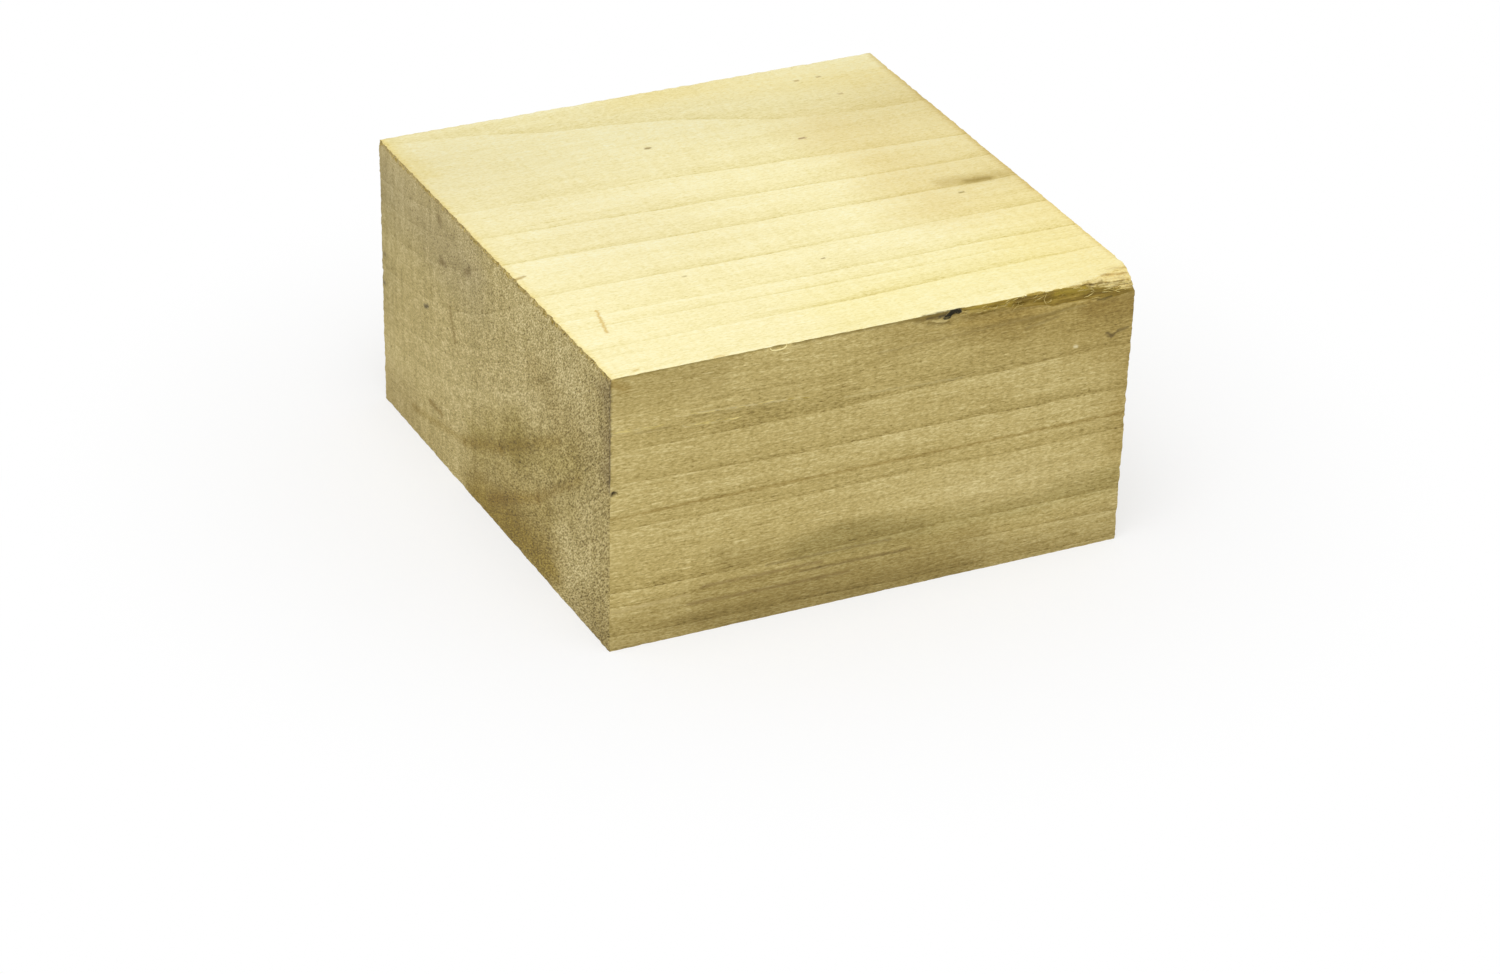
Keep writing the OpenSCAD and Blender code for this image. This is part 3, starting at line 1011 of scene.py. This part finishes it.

# %% [markdown]
# Three finishes share the rings.
# The top is still pale and clean, and its rings grow fainter to the left.
# The front and back are olive tan and darker than the top: partly their own colour, partly painted shade of
# faces turned from the overhead lamp.
# The end grain drinks in light between its cut fibres, so it is the darkest and greyest.
# The numbers say how strongly each pattern shifts the tone, which runs from dark to pale.

# %% Poplar finishes
FINISHES = {
    # Poplar ripped on a band saw a short while ago: cream, matt and softly furry, with clear ring lines.
    "fresh_ripsawn_poplar": {
        "dark": "#c6b266", "low": "#e8da97", "mid": "#f9eeb7", "high": "#fefcd8",
        "bundle": 0.23, "bundle_size": (1.2, 0.42, 0.42), "fuzz": (1.0, 1.2), "bump": 0.12,
        "strand": 0.08, "streak": 0.08, "blotch": 0.05, "fleck": 0.06, "speck": 0.10,
        "saw": 0.05, "saw_band": (1.9, 60.0, 60.0),
        "late": 0.17, "line": 0.19, "early": 0.07, "left_rings": 0.6,
        "map": (0, 1), "marks": TOP_MARKS,
    },
    # The same cut in olive tan, streaky and flecked where fibres were lifted; its darker colour is partly
    # painted shade of the sides.
    "olive_shaded_ripsawn_poplar": {
        "dark": "#75622a", "low": "#aa9552", "mid": "#c9b470", "high": "#ecdc9e",
        "bundle": 0.30, "bundle_size": (1.2, 0.36, 0.36), "fuzz": (1.0, 1.0), "bump": 0.12,
        "strand": 0.14, "streak": 0.07, "blotch": 0.05, "fleck": 0.20, "speck": 0.16,
        "saw": 0.05, "saw_band": (1.9, 60.0, 60.0),
        "late": 0.17, "line": 0.13, "early": 0.07, "left_rings": 1.0,
        "map": (0, 2), "marks": FRONT_MARKS,
    },
    # Poplar cut across the grain: open fibre ends hold shadow, so it looks darker, duller and speckled.
    "crosscut_poplar": {
        "dark": "#675724", "low": "#9e8c51", "mid": "#c2af71", "high": "#ecdca4",
        "bundle": 0.41, "bundle_size": (1.0, 0.44, 1.0), "fuzz": (1.7, 0.42), "bump": 0.16,
        "strand": 0.06, "streak": 0.10, "blotch": 0.06, "fleck": 0.0, "speck": 0.25,
        "saw": 0.08, "saw_band": (60.0, 2.4, 60.0),
        "late": 0.08, "line": 0.03, "early": 0.05, "left_rings": 1.0,
        "map": (1, 2), "marks": END_MARKS,
    },
}
print(len(FINISHES), "finishes:", ", ".join(FINISHES))

# %% [markdown]
# Poplar fibres are about a millimetre long and 0.03 mm thick, far too fine to show.
# So the fibre patterns are drawn coarser, as bundles and strands about half a millimetre thick.
# Streaks follow the grain for some centimetres, and blotches are as wide as the stains of a drying stack.
# Saw marks are bands across the cut, and ring lines come and go along the grain.

# %% Tone of the sawn wood
STRAND = (9.0, 0.55, 0.55)
STREAK = (60.0, 3.0, 3.0)
BLOTCH = (60.0, 28.0, 28.0)
FLECK = (5.0, 0.4, 0.4)
SPECK = (1.3, 0.8, 0.8)
RARE_FROM, RARE_FULL = 0.85, 1.15
JAG_SIZE, JAG_REACH = (14, 2, 2), (0, 0.25, 0.15)
RING_FADE = (70.0, 14.0, 14.0)
FADE_FROM, FADE_FULL, FADE_LEAST = -0.8, 0.4, 0.5
CLEAR_RINGS = 10.0
LATE_POWER, LINE_POWER, EARLY_POWER = 2.5, 14.0, 12.0
START_TONE = 0.62


def sawn_tone(tree, place, wavy, look):
    """Tone of the sawn wood from 0 to 1, and the fibre bundles and strands in it."""
    x, y = add(tree, "SeparateXYZ", {}, {0: place}).outputs[:2]
    fuzz = add(tree, "MapRange", {}, {
        "Value": y, "From Min": top_low[1], "From Max": top_high[1],
        "To Min": look["fuzz"][0], "To Max": look["fuzz"][1]})
    even = pattern(tree, around_pith(tree, wavy), look["bundle_size"])
    bundle = add(tree, "Math", MULTIPLY, {0: even, 1: fuzz})
    strand = pattern(tree, wavy, STRAND)

    age = growth(tree, moved(tree, wavy, JAG_SIZE, JAG_REACH), place)
    young = add(tree, "Math", SUBTRACT, {0: 1.0, 1: age})
    patchy = add(tree, "MapRange", {}, {
        "Value": pattern(tree, wavy, RING_FADE),
        "From Min": FADE_FROM, "From Max": FADE_FULL, "To Min": FADE_LEAST})
    clearer = add(tree, "MapRange", {}, {
        "Value": x, "From Min": top_low[0], "From Max": CLEAR_RINGS, "To Min": look["left_rings"]})
    fade = add(tree, "Math", MULTIPLY, {0: patchy, 1: clearer})
    tone = START_TONE
    for value, power, weight in (
            (age, LATE_POWER, -look["late"]),
            (age, LINE_POWER, -look["line"]),
            (young, EARLY_POWER, look["early"])):
        shaped = add(tree, "Math", {"operation": "POWER"}, {0: value, 1: power})
        faded = add(tree, "Math", MULTIPLY, {0: shaped, 1: fade})
        tone = add(tree, "Math", MULTIPLY_ADD, {0: faded, 1: weight, 2: tone})

    fleck, speck = (
        add(tree, "MapRange", {}, {
            "Value": pattern(tree, wavy, size, 0.0), "From Min": RARE_FROM, "From Max": RARE_FULL})
        for size in (FLECK, SPECK))
    for value, weight in (
            (bundle, look["bundle"]),
            (strand, look["strand"]),
            (pattern(tree, wavy, STREAK), look["streak"]),
            (pattern(tree, place, BLOTCH), look["blotch"]),
            (pattern(tree, place, look["saw_band"]), look["saw"]),
            (fleck, look["fleck"]),
            (speck, -look["speck"])):
        tone = add(tree, "Math", MULTIPLY_ADD, {0: value, 1: weight, 2: tone})
    return tone, bundle, strand


# %% [markdown]
# Where the wood is torn, dark weathered fibres, bright split ones or black bark cover the sawn colour.
# The points of the block say where, and the split fibres fray the border of each cover.

# %% Torn wood and bark
SPLIT = (24.0, 0.9, 0.9)
BUNDLE_SHARE, SHORT_SHARE = 0.4, 0.6
SPLIT_SPREAD = 0.9
TORN_COVERS = {
    "torn": {"fray": 0.35, "edge": (0.35, 0.6), "stops": [
        (0.0, "#7c6416"), (0.5, "#aa9238"), (1.0, "#d0b866")]},
    "bright": {"fray": 0.5, "edge": (0.2, 0.8), "stops": [
        (0.0, "#987c2c"), (0.3, "#dcc272"), (0.5, "#faeeb2"), (0.7, "#ecd890"), (1.0, "#fff6c6")]},
    "bark": {"fray": 0.5, "edge": (0.35, 0.55), "stops": [
        (0.0, "#1c180a"), (0.5, "#383214"), (1.0, "#a89c68")]},
}


def torn_over(tree, colour, wavy, bundle, strand):
    """Colour with the torn, bright and bark covers laid over it."""
    long_split = pattern(tree, wavy, SPLIT, 3.0)
    short_split = add(tree, "Math", MULTIPLY_ADD, {0: bundle, 1: BUNDLE_SHARE, 2: strand})
    split = add(tree, "Math", MULTIPLY_ADD, {0: short_split, 1: SHORT_SHARE, 2: long_split})
    split_tone = add(tree, "MapRange", {}, {
        "Value": split, "From Min": -SPLIT_SPREAD, "From Max": SPLIT_SPREAD})
    for cover, torn_look in TORN_COVERS.items():
        amount = add(tree, "Attribute", {"attribute_name": cover}).outputs["Fac"]
        fray = add(tree, "Math", MULTIPLY_ADD, {0: split, 1: torn_look["fray"], 2: 1.0})
        frayed = add(tree, "Math", MULTIPLY, {0: amount, 1: fray})
        edge_low, edge_high = torn_look["edge"]
        edge = add(tree, "MapRange", SMOOTH, {
            "Value": frayed, "From Min": edge_low, "From Max": edge_high})
        fibrous = add(tree, "ValToRGB", {}, {"Fac": split_tone}, [
            (position, linear(tint)) for position, tint in torn_look["stops"]])
        colour = add(tree, "Mix", COLOUR, {
            0: edge, 6: colour, 7: fibrous.outputs["Color"]}).outputs[2]
    return colour


# %% [markdown]
# A finish is then built up in the order that it happened: the sawn tone gets its colours,
# torn wood and bark break through it, and the marks lie on top.
# Wood is an ordinary dull dielectric, so its IOR is 1.5 and a rough cut keeps all shine off it.
# The hidden back and right end have the same finishes without the marks, since those belong to one face.

# %% Finished poplar
WAVE_SIZE, WAVE_REACH = (55, 60, 60), (0, 1.0, 0.7)
RAGGED_SIZE, RAGGED_SHIFT = (1.6, 0.8, 1.0), (0.7, 0.45, 0)
CLOUDY_SIZE, CLOUDY_SHIFT = (25, 9, 1.0), (9, 5, 0)
WIDE_MARK = 7.0
WOOD_IOR = 1.5
SAWN_ROUGHNESS = 0.82
FUZZ_STRENGTH = 0.5


def in_millimetres(tree):
    """Place on the object in millimetres."""
    metres = add(tree, "TexCoord").outputs["Object"]
    return add(tree, "VectorMath", {"operation": "SCALE"}, {0: metres, "Scale": 1 / MM})


def poplar(name, look):
    """One sawn finish of the block's wood."""
    material, output = new_material(name)
    tree = material.node_tree
    place = in_millimetres(tree)
    wavy = moved(tree, place, WAVE_SIZE, WAVE_REACH)
    tone, bundle, strand = sawn_tone(tree, place, wavy, look)
    colour = add(tree, "ValToRGB", {}, {"Fac": tone}, [
        (0.0, linear(look["dark"])), (0.3, linear(look["low"])),
        (0.6, linear(look["mid"])), (1.0, linear(look["high"]))]).outputs["Color"]
    colour = torn_over(tree, colour, wavy, bundle, strand)

    ways = add(tree, "SeparateXYZ", {}, {0: place}).outputs
    flat_map = {axis: ways[way] for axis, way in enumerate(look["map"])}
    ragged = moved(tree, add(tree, "CombineXYZ", {}, flat_map), RAGGED_SIZE, RAGGED_SHIFT)
    cloudy = moved(tree, ragged, CLOUDY_SIZE, CLOUDY_SHIFT)
    for mark in look["marks"]:
        colour = marked(tree, colour, cloudy if mark[3] > WIDE_MARK else ragged, *mark)

    bump = add(tree, "Bump", {}, {
        "Strength": FUZZ_STRENGTH, "Distance": look["bump"] * MM, "Height": bundle})
    surface = add(tree, "BsdfPrincipled", {}, {
        "Base Color": colour, "Roughness": SAWN_ROUGHNESS, "IOR": WOOD_IOR, "Normal": bump})
    tree.links.new(surface.outputs[0], output.inputs["Surface"])
    return material


for name, finish in FINISHES.items():
    block_mesh.materials.append(poplar(name, finish))
for name in ("olive_shaded_ripsawn_poplar", "crosscut_poplar"):
    block_mesh.materials.append(poplar("unmarked_" + name, {**FINISHES[name], "marks": []}))
print("On the block:", ", ".join(material.name for material in block_mesh.materials))

# %% [markdown]
# The loose threads are poplar pulled apart along its fibres, which is smoother than a saw cut.
# The fibres are straw yellow, and lighter and darker by turns, so single threads can be told apart.
# The splinters split off last, so they are the palest wood on the block and stand out from its edge.

# %% Split poplar
SPLIT_ROUGHNESS = 0.7
THREAD_PATCH = (3.0, 3.0, 1.0)
THREAD_SPREAD = 0.7

fibre_material, output = new_material("split_poplar_fibre")
tree = fibre_material.node_tree
shade = add(tree, "MapRange", {}, {
    "Value": pattern(tree, in_millimetres(tree), THREAD_PATCH),
    "From Min": -THREAD_SPREAD, "From Max": THREAD_SPREAD})
straw = add(tree, "ValToRGB", {}, {"Fac": shade}, [
    (0.0, linear("#ac9440")), (1.0, linear("#e8d68a"))])
surface = add(tree, "BsdfPrincipled", {}, {
    "Base Color": straw.outputs["Color"], "Roughness": SPLIT_ROUGHNESS, "IOR": WOOD_IOR})
tree.links.new(surface.outputs[0], output.inputs["Surface"])
fibres.data.materials.append(fibre_material)

splinter_material, output = new_material("fresh_split_poplar")
surface = add(splinter_material.node_tree, "BsdfPrincipled", {}, {
    "Base Color": linear("#f6e8a6"), "Roughness": SPLIT_ROUGHNESS, "IOR": WOOD_IOR})
splinter_material.node_tree.links.new(surface.outputs[0], output.inputs["Surface"])
splinters.data.materials.append(splinter_material)
print("On the threads:", fibre_material.name, "and", splinter_material.name)

# %% [markdown]
# The finished block stands for the CAD solid and rides on its only body, and the solid itself is hidden.
# The dressed block is no bigger than the solid.

# %% Hand over
for piece in (block, splinters, fibres):
    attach(piece, "root")
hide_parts("bowl_blank")
